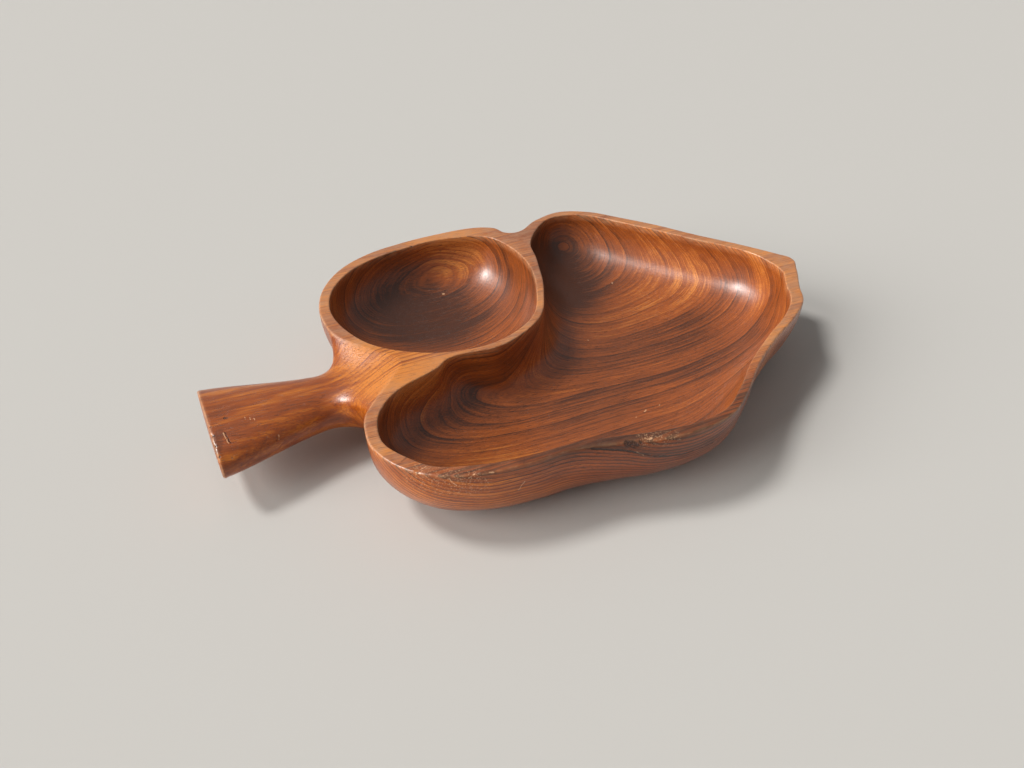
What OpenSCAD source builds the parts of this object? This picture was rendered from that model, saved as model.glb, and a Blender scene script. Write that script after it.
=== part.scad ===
// Leaf-shaped serving dish with two hollows and a stem handle, carved from one block of hardwood.
// Millimetres. X runs from the stem's end to the leaf's tip, Y towards the round hollow's side, Z up.
// The origin lies on the table, under the middle of the dish.

/* [Leaf] */
// Length of the leaf, without its stem
leaf_length = 325; // [260:1:420]
// Width of the leaf across its lobes
leaf_width = 266; // [220:1:340]
// Height of the flat rim above the table
rim_height = 50; // [44:1:80]
// Width of the rim between a hollow and the leaf's edge
rim_width = 7; // [5:0.5:9]
// Width of the ridge between the two hollows
ridge_width = 5; // [3:0.5:8]

/* [Outer wall] */
// How far the foot's edge lies inside the rim's edge
foot_inset = 42; // [25:1:55]
// How full the outer wall's curve is: 2 is round, more is squarer
wall_fullness = 2.5; // [2:0.1:3.5]

/* [Hollows] */
// Wood left under the round hollow
round_floor = 13; // [6:0.5:20]
// Wood left under the large hollow
large_floor = 10; // [6:0.5:20]
// Run of the round hollow's wall before it turns to the lowest point
round_run = 16; // [10:1:24]
// Run of the large hollow's wall before it turns to the lowest point
large_run = 22; // [16:1:26]
// How full the hollows' walls are: 2 is round, more is squarer
hollow_fullness = 2.4; // [2:0.1:3]

/* [Stem handle] */
// Length of the stem beyond the leaf's lobes
stem_length = 75; // [50:1:130]
// Height of the stem's middle line above the table
stem_height = 29; // [26:0.5:32]
// Width of the stem's neck
neck_width = 38; // [28:1:46]
// Thickness of the stem's neck
neck_thickness = 25; // [18:1:28]
// Width of the stem's cut end
end_width = 73; // [46:1:90]
// Thickness of the stem's cut end
end_thickness = 26; // [16:1:32]
// Angle of the cut across the stem's end
end_cut_angle = 4; // [0:0.5:10]

/* [Hidden] */

// Size at which the outline points below are drawn
drawn_leaf = [325, 266];
// The leaf's edge, counter-clockwise from above, in stretches from the crotch where the stem grows out.
// A third number is the width by which the rim beside that point is wider or narrower.
crotch_edge = [
    [-159, 38], [-156, 28], [-149, 17], [-139, 4], [-128, -11], [-136, -25], [-148, -39], [-158, -51]
];
front_edge = [
    [-162, -64, 0], [-162, -80, 0], [-154, -97, 1], [-140, -110, 0], [-118, -118, 0], [-94, -120, -2],
    [-70, -120, -2], [-46, -125, -1], [-23, -131, 0], [1, -132, -1], [23, -127, -2], [42, -114, -2],
    [63, -96, -2], [88, -79, -2], [113, -65, -1], [132, -51, 1], [143, -34, 2]
];
tip_edge = [[155, -17], [163, -2], [156, 11]];
back_edge = [
    [141, 32, 1], [121, 57, 1], [103, 82, 2], [85, 103, 1], [66, 123, 0], [44, 132, 0], [22, 126, 0]
];
notch_edge = [[4, 114], [-7, 115], [-14, 127], [-31, 133]];
round_edge = [[-57, 133, 2], [-84, 130, 2], [-111, 123, 2], [-134, 109, 1], [-151, 87, 0], [-159, 62, 0]];
// Where the hollows' edges don't follow the leaf's edge: the round one from the stem to the notch,
// and the large one at the tip, at the notch and at the stem
round_inner = [
    [-150, 37], [-139, 12], [-120, -5], [-96, -15], [-66, -15],
    [-37, 2], [-20, 33], [-12, 64], [-14, 94], [-26, 116]
];
large_tip = [[145, -12], [143, 11]];
large_notch = [[4, 95], [-4, 66]];
large_stem = [[-112, -28], [-136, -38], [-151, -52]];
// The round hollow's inner points that the large hollow follows, a ridge's width away
ridge_points = [6, 5, 4, 3];
// Lowest points of the hollows, and the middle of the foot
round_low = [-82, 58];
large_low = [36, -32];
foot_middle = [37, -6];
// Points of smooth curve from one drawn point to the next
curve_steps = 4;
// Points each way over which the leaf's lobes fade towards the foot
fade_reach = 7;
// Rows of faces up the outer wall and down a hollow
wall_rows = 9;
hollow_rows = 10;
// How much closer the hollows' rows lie near the rim
row_crowding = 1.6;
// Slope at which the outer wall leaves the foot
foot_angle = 12;
// Row of the outer wall where the stem's underside grows out
stem_row = 3;
// Rings of faces in the stem's root and along the stem
root_rings = 7;
stem_rings = 8;
// How narrow the level middle of the root is where it leaves the rim, how steeply it leaves there,
// and how far out it points where it leaves the leaf's underside
root_narrowing = 0.8;
root_drop = 0.2;
root_out = 0.7;
// Distance of the neck from the lobes, and how far the root reaches straight out of the leaf and the neck
neck_gap = 12;
root_reach = 12;
neck_reach = 16;
// Sideways place of the stem's middle line, at its end and at the neck
end_y = -8;
neck_y = -6;
// How full the stem's oval section is
stem_fullness = 2.3;
// Half the angle of the stem's section that grows from each side of the crotch
side_angle = 35;

// Points drawn at the leaf's drawn size, at its real size
function real_size(points) = [
    for (p = points) [p.x * leaf_length / drawn_leaf.x, p.y * leaf_width / drawn_leaf.y]
];

// Point of a closed ring, counted round and round
function around(ring, i) = ring[(i + len(ring)) % len(ring)];

function mean(points) = [for (p = points) 1] * points / len(points);

function flat(lists) = [for (l = lists) each l];

// Unit vector to the left of a ring at one of its points, which is inward on a counter-clockwise ring
function inward(ring, i) =
    let (along = around(ring, i + 1) - around(ring, i - 1))
    [-along.y, along.x] / norm(along);

// Parabola through three points, at the middle one when t is 0
function parabola(a, b, c, t) = b + (c - a) * t / 2 + (a - 2 * b + c) * t * t / 2;

// Smooth closed curve through a ring of points: in each span two parabolas are blended
function smooth_curve(ring) = [
    for (i = [0 : len(ring) - 1], k = [0 : curve_steps - 1])
        let (
            t = k / curve_steps,
            blend = t * t * (3 - 2 * t),
            leaving = parabola(around(ring, i - 1), ring[i], around(ring, i + 1), t),
            arriving = parabola(ring[i], around(ring, i + 1), around(ring, i + 2), t - 1)
        )
        leaving * (1 - blend) + arriving * blend
];

// Ring whose lobes and notches are softened, each point moved to the mean of its neighbours
function faded(ring) = [
    for (i = [0 : len(ring) - 1]) mean([for (k = [-fade_reach : fade_reach]) around(ring, i + k)])
];

// Cosine and sine of an angle on an oval, which is round when the fullness is 2
function oval(angle, fullness) = [
    sign(cos(angle)) * pow(abs(cos(angle)), 2 / fullness),
    sign(sin(angle)) * pow(abs(sin(angle)), 2 / fullness)
];

// Outlines of the leaf and of the two hollows, at the rim
leaf_drawn = concat(crotch_edge, front_edge, tip_edge, back_edge, notch_edge, round_edge);
leaf_points = real_size(leaf_drawn);
front_start = len(crotch_edge);
tip_start = front_start + len(front_edge);
back_start = tip_start + len(tip_edge);
notch_start = back_start + len(back_edge);
round_start = notch_start + len(notch_edge);

// A stretch of the leaf's points, moved in by the rim's width
function rim_inside(start, count) = [
    for (i = [start : start + count - 1])
        leaf_points[i] + inward(leaf_points, i) * (rim_width + leaf_drawn[i][2])
];

round_points = concat(rim_inside(round_start, len(round_edge)), real_size(round_inner));
ridge_side = [
    for (i = ridge_points)
        let (place = len(round_edge) + i)
        round_points[place] - inward(round_points, place) * ridge_width
];
large_points = concat(
    rim_inside(front_start, len(front_edge)), real_size(large_tip), rim_inside(back_start, len(back_edge)),
    real_size(large_notch), ridge_side, real_size(large_stem)
);
leaf_edge = smooth_curve(leaf_points);
columns = len(leaf_edge);

// Outer wall: rings from the foot up to the rim, along a quarter of an oval
foot_centre = real_size([foot_middle])[0];
foot_edge = [
    for (p = faded(faded(leaf_edge)))
        p - (p - foot_centre) / norm(p - foot_centre) * foot_inset
];
wall = [
    for (row = [0 : wall_rows])
        let (
            start = oval(foot_angle, wall_fullness),
            now = oval(foot_angle + (90 - foot_angle) * row / wall_rows, wall_fullness),
            out = (now.y - start.y) / (1 - start.y),
            z = rim_height * (1 - now.x / start.x)
        )
        [for (i = [0 : columns - 1]) concat(foot_edge[i] * (1 - out) + leaf_edge[i] * out, z)]
];

// Hollow: rings from its edge down. They leave the edge for a softer ring inside it,
// and turn to the lowest point.
function hollow_rings(points, low, run, floor_height) =
    let (
        edge = smooth_curve(points),
        soft = faded(faded(edge)),
        turn = [for (i = [0 : len(soft) - 1]) soft[i] + inward(soft, i) * run],
        centre = real_size([low])[0]
    )
    [
        for (row = [0 : hollow_rows - 1])
            let (
                s = pow(row / hollow_rows, row_crowding),
                fall = pow(1 - pow(1 - s, hollow_fullness), 1 / hollow_fullness)
            )
            [
                for (i = [0 : len(edge) - 1]) concat(
                    edge[i] * pow(1 - s, 2) + turn[i] * 2 * s * (1 - s) + centre * s * s,
                    rim_height - (rim_height - floor_height) * fall
                )
            ]
    ];
round_hollow = hollow_rings(round_points, round_low, round_run, round_floor);
large_hollow = hollow_rings(large_points, large_low, large_run, large_floor);

// The stem grows out of a patch of the wall: the crotch's columns, above the stem's row.
// The patch's border runs from the round side over the top.
// Each item of it is [column, row, angle round the stem].
patch_columns = (len(crotch_edge) - 1) * curve_steps;
patch_rows = wall_rows - stem_row;
face_angle = 180 - 2 * side_angle;
patch_border = concat(
    [for (c = [0 : patch_columns]) [c, wall_rows, side_angle + face_angle * c / patch_columns]],
    [
        for (r = [1 : patch_rows])
            [patch_columns, wall_rows - r, 180 - side_angle + 2 * side_angle * r / patch_rows]
    ],
    [
        for (c = [1 : patch_columns])
            [patch_columns - c, stem_row, 180 + side_angle + face_angle * c / patch_columns]
    ],
    [for (r = [1 : patch_rows - 1]) [0, stem_row + r, 360 - side_angle + 2 * side_angle * r / patch_rows]]
);

// Point of the stem's surface, from its neck (0) to its cut end (1)
lobes_x = min([for (p = leaf_edge) p.x]);
function stem_point(along, angle) =
    let (
        flare = along * (1 + 3 * along - 2 * along * along) / 2,
        section = oval(angle, stem_fullness),
        y = section.x * (neck_width * (1 - flare) + end_width * flare) / 2,
        z = section.y * (neck_thickness * (1 - along) + end_thickness * along) / 2,
        x = lobes_x - neck_gap * (1 - along) - (stem_length + y * tan(end_cut_angle)) * along
    )
    [x, y + neck_y * (1 - along) + end_y * along, stem_height + z];

// Direction in which the root leaves the patch: level off the rim's middle, down from its sides
function root_direction(border) =
    let (
        angle = border[2],
        on_rim = border[1] == wall_rows,
        middle = on_rim ? pow(sin(180 * border[0] / patch_columns), root_narrowing) : 0,
        out = on_rim ? middle : max(0, -sin(angle)) * root_out
    )
    [-out, -cos(angle), -sin(angle) * (1 - (1 - root_drop) * middle)];

// Point of the root, from the patch (0) to the neck (1)
function root_point(border, t) =
    let (
        start = wall[border[1]][border[0]],
        finish = stem_point(0, border[2]),
        leave = start + root_direction(border) * root_reach,
        arrive = finish + [neck_reach, 0, 0]
    )
    start * pow(1 - t, 3) + leave * 3 * t * pow(1 - t, 2)
        + arrive * 3 * t * t * (1 - t) + finish * pow(t, 3);

stem = concat(
    [for (k = [1 : root_rings]) [for (b = patch_border) root_point(b, k / root_rings)]],
    [for (k = [1 : stem_rings]) [for (b = patch_border) stem_point(k / stem_rings, b[2])]]
);

// Points of the whole surface, and the index of the first point of each part of it
points = concat(
    flat(wall), flat(stem), flat(round_hollow), flat(large_hollow),
    [
        concat(foot_centre, 0), mean(stem[len(stem) - 1]),
        concat(real_size([round_low])[0], round_floor), concat(real_size([large_low])[0], large_floor)
    ]
);
rim_first = wall_rows * columns;
stem_first = (wall_rows + 1) * columns;
stem_last = stem_first + (len(stem) - 1) * len(patch_border);
round_first = stem_first + len(stem) * len(patch_border);
round_size = len(round_hollow[0]);
large_first = round_first + hollow_rows * round_size;
large_size = len(large_hollow[0]);
foot_point = large_first + hollow_rows * large_size;
end_point = foot_point + 1;
round_low_point = foot_point + 2;
large_low_point = foot_point + 3;

// Two triangles for a cell of a grid, with corners clockwise from outside
function cell(a, b, c, d) = [[a, b, c], [a, c, d]];

wall_faces = [
    for (row = [0 : wall_rows - 1], i = [0 : columns - 1])
        if (row < stem_row || i >= patch_columns)
            let (low = row * columns, next = (i + 1) % columns)
            each cell(low + i, low + columns + i, low + columns + next, low + next)
];

// Index of a point on the stem's ring k, where ring 0 is the patch's border on the wall
function on_stem(k, j) =
    let (place = j % len(patch_border), b = patch_border[place])
    k == 0 ? b[1] * columns + b[0] : stem_first + (k - 1) * len(patch_border) + place;
stem_faces = [
    for (k = [0 : len(stem) - 1], j = [0 : len(patch_border) - 1])
        each cell(on_stem(k, j), on_stem(k, j + 1), on_stem(k + 1, j + 1), on_stem(k + 1, j))
];

function hollow_faces(first, size) = [
    for (row = [0 : hollow_rows - 2], i = [0 : size - 1])
        let (high = first + row * size, next = (i + 1) % size)
        each cell(high + i, high + size + i, high + size + next, high + next)
];

// Fan of triangles from a middle point to a ring, seen from the side on which the ring runs clockwise
function fan(middle, first, size) = [for (i = [0 : size - 1]) [middle, first + i, first + (i + 1) % size]];
function fan_back(middle, first, size) = [for (f = fan(middle, first, size)) [f[0], f[2], f[1]]];

// Indices along an edge, from one drawn point of it to another
function stretch(first, size, from, to) = [
    for (i = [0 : abs(to - from) * curve_steps]) first + (from * curve_steps + sign(to - from) * i) % size
];
function leaf_stretch(from, to) = stretch(rim_first, columns, from, to);
function round_stretch(from, to) = stretch(round_first, round_size, from, to);
function large_stretch(from, to) = stretch(large_first, large_size, from, to);

// Level strip between an outer edge and an inner one on its left, which may have other numbers of points
function strip(outer, inner) =
    let (m = len(outer) - 1, n = len(inner) - 1)
    concat(
        [for (i = [0 : 1 : m - 1]) [outer[i], inner[ceil(n * (i + 0.5) / m - 0.5)], outer[i + 1]]],
        [for (j = [0 : 1 : n - 1]) [inner[j], inner[j + 1], outer[floor(m * (j + 0.5) / n - 0.5) + 1]]]
    );

// Drawn points at which the flat rim is split into strips, on the leaf's edge and on the hollows' edges
crotch_middle = 4;
notch_middle = notch_start + 1;
leaf_end = len(leaf_points);
round_back = len(round_edge) - 1;
round_crotch = round_back + 3;
round_ridge = round_crotch + 1;
round_notch = len(round_points) - 2;
large_front = len(front_edge) - 1;
large_back = len(front_edge) + len(large_tip);
large_end = large_back + len(back_edge) - 1;
large_ridge = large_end + len(large_notch) + len(ridge_points);
rim_faces = concat(
    strip(leaf_stretch(front_start, tip_start - 1), large_stretch(0, large_front)),
    strip(leaf_stretch(tip_start - 1, back_start), large_stretch(large_front, large_back)),
    strip(leaf_stretch(back_start, notch_start - 1), large_stretch(large_back, large_end)),
    strip(leaf_stretch(notch_start - 1, notch_middle), large_stretch(large_end, large_end + 1)),
    strip(leaf_stretch(notch_middle, notch_middle), concat(
        large_stretch(large_end + 1, large_end + 1), round_stretch(round_notch, round_notch)
    )),
    strip(leaf_stretch(notch_middle, round_start), round_stretch(round_notch, len(round_points))),
    strip(leaf_stretch(round_start, leaf_end - 1), round_stretch(0, round_back)),
    strip(leaf_stretch(leaf_end - 1, leaf_end), round_stretch(round_back, round_back + 1)),
    strip(leaf_stretch(0, crotch_middle), round_stretch(round_back + 1, round_crotch)),
    strip(leaf_stretch(crotch_middle, crotch_middle), concat(
        round_stretch(round_crotch, round_ridge), large_stretch(large_ridge, large_ridge + 1)
    )),
    strip(leaf_stretch(crotch_middle, front_start), large_stretch(large_ridge + 1, len(large_points))),
    strip(large_stretch(large_ridge, large_end + 1), round_stretch(round_ridge, round_notch))
);

// Shift that brings the middle of the dish over the origin
ends_x = [min([for (p = stem[len(stem) - 1]) p.x]), max([for (p = leaf_edge) p.x])];
sides_y = [min([for (p = leaf_edge) p.y]), max([for (p = leaf_edge) p.y])];

module dish() {
    color("sienna")
        translate([-mean(ends_x), -mean(sides_y), 0])
            polyhedron(
                points,
                concat(
                    wall_faces, stem_faces, rim_faces,
                    hollow_faces(round_first, round_size), hollow_faces(large_first, large_size),
                    fan(foot_point, 0, columns), fan(end_point, stem_last, len(patch_border)),
                    fan_back(round_low_point, large_first - round_size, round_size),
                    fan_back(large_low_point, foot_point - large_size, large_size)
                )
            );
}

dish();
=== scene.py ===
# Looks of the leaf-shaped serving dish: one block of hardwood with two hollows and a stem handle.
# Its surface is drawn as in the part, in millimetres and finer, and then worn, chipped and oiled.
import math

import bpy
import numpy as np
from mathutils import Euler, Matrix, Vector


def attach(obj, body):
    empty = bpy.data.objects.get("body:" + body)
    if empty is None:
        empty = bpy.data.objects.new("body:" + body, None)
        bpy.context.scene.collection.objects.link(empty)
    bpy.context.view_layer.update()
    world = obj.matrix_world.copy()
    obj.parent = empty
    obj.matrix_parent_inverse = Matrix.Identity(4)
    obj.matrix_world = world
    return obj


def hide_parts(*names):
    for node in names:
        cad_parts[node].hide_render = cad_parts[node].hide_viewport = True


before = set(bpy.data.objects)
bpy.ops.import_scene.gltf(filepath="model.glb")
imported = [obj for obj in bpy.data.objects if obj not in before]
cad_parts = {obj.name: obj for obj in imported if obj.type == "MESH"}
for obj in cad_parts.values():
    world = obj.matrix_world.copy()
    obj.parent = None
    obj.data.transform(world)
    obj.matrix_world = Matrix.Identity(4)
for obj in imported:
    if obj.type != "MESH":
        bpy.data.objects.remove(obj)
bpy.context.view_layer.update()
MM = 0.001

# The part's driving sizes
RIM_HEIGHT = 50.0
RIM_WIDTH = 7.0
RIDGE_WIDTH = 5.0
FOOT_INSET = 42.0
WALL_FULLNESS = 2.5
ROUND_FLOOR = 13.0
LARGE_FLOOR = 10.0
ROUND_RUN = 16.0
LARGE_RUN = 22.0
HOLLOW_FULLNESS = 2.4
STEM_LENGTH = 75.0
STEM_HEIGHT = 29.0
NECK_WIDTH = 38.0
NECK_THICKNESS = 25.0
END_WIDTH = 73.0
END_THICKNESS = 26.0
END_CUT_ANGLE = 4.0
FOOT_ANGLE = 12.0
STEM_FULLNESS = 2.3
SIDE_ANGLE = 35.0
NECK_GAP = 12.0
ROOT_SPREAD = 0.8
ROOT_OUT = 0.7
ROOT_DROP = 0.2
ROOT_REACH = 12.0
NECK_REACH = 16.0
END_Y, NECK_Y = -8.0, -6.0

# The leaf's edge, counter-clockwise from the crotch; a third number widens or narrows the rim there
CROTCH_EDGE = [
    (-159, 38), (-156, 28), (-149, 17), (-139, 4), (-128, -11), (-136, -25), (-148, -39), (-158, -51),
]
FRONT_EDGE = [
    (-162, -64, 0), (-162, -80, 0), (-154, -97, 1), (-140, -110, 0), (-118, -118, 0), (-94, -120, -2),
    (-70, -120, -2), (-46, -125, -1), (-23, -131, 0), (1, -132, -1), (23, -127, -2), (42, -114, -2),
    (63, -96, -2), (88, -79, -2), (113, -65, -1), (132, -51, 1), (143, -34, 2),
]
TIP_EDGE = [(155, -17), (163, -2), (156, 11)]
BACK_EDGE = [
    (141, 32, 1), (121, 57, 1), (103, 82, 2), (85, 103, 1), (66, 123, 0), (44, 132, 0), (22, 126, 0),
]
NOTCH_EDGE = [(4, 114), (-7, 115), (-14, 127), (-31, 133)]
ROUND_EDGE = [(-57, 133, 2), (-84, 130, 2), (-111, 123, 2), (-134, 109, 1), (-151, 87, 0), (-159, 62, 0)]
# Drawn points of the hollows' inner edges; the rest of those edges follows the leaf's, a rim's width inside
ROUND_INNER = [
    (-150, 37), (-139, 12), (-120, -5), (-96, -15), (-66, -15),
    (-37, 2), (-20, 33), (-12, 64), (-14, 94), (-26, 116),
]
LARGE_TIP = [(145, -12), (143, 11)]
LARGE_NOTCH = [(4, 95), (-4, 66)]
LARGE_STEM = [(-112, -28), (-136, -38), (-149.5, -51)]
# Which of the round hollow's inner points the large hollow's edge follows, on the ridge's other side
RIDGE_POINTS = [6, 5, 4, 3]
# Lowest points of the hollows, the middle of the foot, and how far rows crowd towards a hollow's edge
ROUND_LOW = (-82, 58)
LARGE_LOW = (36, -32)
FOOT_MIDDLE = (37, -6)
ROW_CROWDING = 1.6

# How finely the surface is drawn: points from one drawn point to the next, and rows of faces
STEPS = 12
FADE_REACH = 7 * STEPS // 4
WALL_ROWS = 24
STEM_ROW = 8
HOLLOW_ROWS = 34
ROOT_RINGS = 20
STEM_RINGS = 26
FOOT_RINGS = 6
CAP_RINGS = 8
ARC_STEPS = 4
# Groups that points belong to
OTHER_GROUP, HOLLOW_GROUP, WALL_GROUP = 0, 1, 2
# Worn edges: radius along the rim's outer edge, in the crotch, along the hollows and round the stem's end
OUTER_ROUNDING = 1.1
CROTCH_ROUNDING = 14.0
HOLLOW_ROUNDING = 0.8
END_ROUNDING = 1.4
# How far the crotch's arc reaches at most, and the level margin between an arc and the rim's faces
CROTCH_REACH = 1.6
FLAT_MARGIN = 0.6
# How many columns the crotch's slope and its rounding take to fade in
SLOPE_FADE = 0.7 * STEPS
ROUNDING_FADE = 2 * STEPS
# The leaf's edge is set in a little, so that the dish stays inside the part's box
EDGE_INSET = 0.03
# How many times the stem's root is sanded round, and how far the cut end bulges
ROOT_SANDING = 60
END_BULGE = 0.5
# A worn stretch of the front rim, from one x to another as the edge is drawn, and its larger radius
RIM_WEAR = (-64, -20)
RIM_WEAR_ROUNDING = 2.6
RIM_WEAR_FADE = 12.0


def smooth_step(value, low, high):
    """A smooth step from 0 at one value to 1 at another, which may be the lower one."""
    part = np.clip((value - low) / (high - low), 0, 1)
    return part * part * (3 - 2 * part)


def turned(ring, k):
    """A closed ring of points, started k points later."""
    return np.roll(ring, -k, axis=0)


def inward(ring):
    """Unit vectors to the left of a ring, which is inward on a counter-clockwise one."""
    along = turned(ring, 1) - turned(ring, -1)
    left = np.column_stack([-along[:, 1], along[:, 0]])
    return left / np.linalg.norm(left, axis=1)[:, None]


def smooth_curve(ring):
    """Smooth closed curve through a ring of points: in each span two parabolas are blended."""
    here = np.asarray(ring, float)
    before, after, beyond = turned(here, -1), turned(here, 1), turned(here, 2)
    spans = []
    for k in range(STEPS):
        t = k / STEPS
        u = t - 1
        blend = t * t * (3 - 2 * t)
        leaving = here + (after - before) * t / 2 + (before - 2 * here + after) * t * t / 2
        arriving = after + (beyond - here) * u / 2 + (here - 2 * after + beyond) * u * u / 2
        spans.append(leaving * (1 - blend) + arriving * blend)
    return np.stack(spans, axis=1).reshape(-1, 2)


def faded(ring):
    """A ring whose lobes and notches are softened, twice over."""
    for _ in range(2):
        ring = sum(turned(ring, k) for k in range(-FADE_REACH, FADE_REACH + 1)) / (2 * FADE_REACH + 1)
    return ring


def oval(angle, fullness):
    """Cosine and sine of an angle in degrees on an oval, which is round when the fullness is 2."""
    c, s = np.cos(np.radians(angle)), np.sin(np.radians(angle))
    return np.sign(c) * np.abs(c) ** (2 / fullness), np.sign(s) * np.abs(s) ** (2 / fullness)


def level(points, z):
    """Plan points lifted to a height, which may be one number or one a point."""
    return np.column_stack([points, np.broadcast_to(z, len(points))])


class Surface:
    """Points of the dish with their groups, and its faces, gathered part by part."""

    def __init__(self):
        self.points = []
        self.groups = []
        self.count = 0
        self.faces = []

    def add(self, points, group=OTHER_GROUP):
        """Adds points, (n, 3) or (rows, n, 3), and gives their indices in the same arrangement."""
        points = np.asarray(points, float)
        flat = points.reshape(-1, 3)
        index = np.arange(self.count, self.count + len(flat)).reshape(points.shape[:-1])
        self.points.append(flat)
        self.groups.append(np.full(len(flat), group))
        self.count += len(flat)
        return index

    def grid(self, index, closed=True, keep=None):
        """Quads between rows of points that run counter-clockwise, each row above the one before."""
        if closed:
            index = np.column_stack([index, index[:, :1]])
        quads = np.stack([index[:-1, :-1], index[:-1, 1:], index[1:, 1:], index[1:, :-1]], axis=-1)
        self.faces += (quads if keep is None else quads[keep]).reshape(-1, 4).tolist()

    def fan(self, middle, ring):
        """Triangles from a middle point to a closed counter-clockwise ring."""
        self.faces += [[middle, a, b] for a, b in zip(ring, np.roll(ring, -1))]

    def strip(self, outer, inner):
        """Level strip between an outer edge and an inner one on its left."""
        m, n = len(outer) - 1, len(inner) - 1
        for i in range(m):
            self.faces.append([outer[i], outer[i + 1], inner[math.ceil(n * (i + 0.5) / m - 0.5)]])
        for j in range(n):
            self.faces.append([inner[j + 1], inner[j], outer[math.floor(m * (j + 0.5) / n - 0.5) + 1]])


def leaf_outlines():
    """Drawn points of the leaf's and the two hollows' edges, and where the leaf's stretches start."""
    stretches = [CROTCH_EDGE, FRONT_EDGE, TIP_EDGE, BACK_EDGE, NOTCH_EDGE, ROUND_EDGE]
    starts = np.cumsum([0] + [len(s) for s in stretches])
    drawn = [p for s in stretches for p in s]
    leaf = np.array([p[:2] for p in drawn], float)
    extra = np.array([p[2] if len(p) == 3 else 0 for p in drawn], float)
    inside = leaf + inward(leaf) * (RIM_WIDTH + extra)[:, None]
    round_points = np.vstack([inside[starts[5]:], ROUND_INNER])
    ridge = round_points - inward(round_points) * RIDGE_WIDTH
    large_points = np.vstack([
        inside[starts[1]:starts[2]], LARGE_TIP, inside[starts[3]:starts[4]],
        LARGE_NOTCH, ridge[[len(ROUND_EDGE) + i for i in RIDGE_POINTS]], LARGE_STEM,
    ])
    return leaf, round_points, large_points, starts


def root_direction(angles, across):
    """Directions in which the stem's root leaves the leaf.

    Across runs from 0 to 1 along the rim, where the root leaves level at a half, and is -1 elsewhere.
    """
    sine, cosine = np.sin(np.radians(angles)), np.cos(np.radians(angles))
    middle = np.where(across < 0, 0, np.abs(np.sin(np.pi * across)) ** ROOT_SPREAD)
    out = np.where(across < 0, np.maximum(0, -sine) * ROOT_OUT, middle)
    return np.column_stack([-out, -cosine, -sine * (1 - (1 - ROOT_DROP) * middle)])


def outer_wall(surface, leaf_points):
    """The outer wall from the foot to the flat rim. The stem's patch is left open."""
    edge = smooth_curve(leaf_points)
    edge = edge + inward(edge) * EDGE_INSET
    soft = faded(edge)
    out = soft - FOOT_MIDDLE
    foot = soft - out / np.linalg.norm(out, axis=1)[:, None] * FOOT_INSET
    patch = (len(CROTCH_EDGE) - 1) * STEPS
    column = np.arange(len(edge))
    # how many columns a point lies beside the stem's patch, below 0 inside it
    beside = np.minimum(np.abs(column - patch / 2), len(edge) - np.abs(column - patch / 2)) - patch / 2
    in_rim = inward(edge)
    # the rim's outer edge is worn to an arc that turns to upright, and in the crotch to the root's slope
    across = np.clip(column / patch, 0, 1)
    leave = root_direction(SIDE_ANGLE + (180 - 2 * SIDE_ANGLE) * column / patch, across)
    slope = np.degrees(np.arctan2(-leave[:, 2], -(leave[:, :2] * in_rim).sum(axis=1)))
    slope = np.radians(90 + (slope - 90) * smooth_step(-beside, 0, SLOPE_FADE))
    rounding = OUTER_ROUNDING + (CROTCH_ROUNDING - OUTER_ROUNDING) * smooth_step(-beside, 0, ROUNDING_FADE)
    rounding = np.minimum(rounding, CROTCH_REACH / np.sin(slope))
    outside = np.maximum(RIM_WEAR[0] - edge[:, 0], edge[:, 0] - RIM_WEAR[1])
    worn = smooth_step(outside, RIM_WEAR_FADE, 0) * (edge[:, 1] < 0)
    rounding += (RIM_WEAR_ROUNDING - OUTER_ROUNDING) * worn
    start = oval(FOOT_ANGLE, WALL_FULLNESS)
    below_rim = start[0] * np.minimum(rounding, RIM_WEAR_ROUNDING) / RIM_HEIGHT
    last = np.degrees(np.arccos(below_rim ** (WALL_FULLNESS / 2)))
    rows = []
    for row in range(WALL_ROWS + 1):
        c, s = oval(FOOT_ANGLE + (last - FOOT_ANGLE) * row / WALL_ROWS, WALL_FULLNESS)
        spread = ((s - start[1]) / (1 - start[1]))[:, None]
        rows.append(level(foot * (1 - spread) + edge * spread, RIM_HEIGHT * (1 - c / start[0])))
    base = rows.pop()[:, :2]
    for k in range(ARC_STEPS + 1):
        left = slope * (1 - k / ARC_STEPS)
        shift = rounding * (np.sin(slope) - np.sin(left))
        rows.append(level(base + in_rim * shift[:, None], RIM_HEIGHT - rounding * (1 - np.cos(left))))
    rows.append(level(edge + in_rim * (rounding * np.sin(slope) + FLAT_MARGIN)[:, None], RIM_HEIGHT))
    index = surface.add(np.array(rows), WALL_GROUP)
    keep = np.ones((len(rows) - 1, len(edge)), bool)
    keep[STEM_ROW:WALL_ROWS, :patch] = False
    surface.grid(index, keep=keep)
    return index, np.array(rows), patch


def foot(surface, ring, first):
    """The flat foot, as rings from the wall's first row to its middle."""
    middle = np.array([*FOOT_MIDDLE, 0.0])
    rows = [first * (1 - t) + middle * t for t in np.arange(1, FOOT_RINGS) / FOOT_RINGS]
    inner = surface.add(np.array(rows))
    index = np.vstack([ring[None], inner])
    surface.grid(index[:, ::-1])
    surface.fan(surface.add(middle[None])[0], index[-1][::-1])


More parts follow.
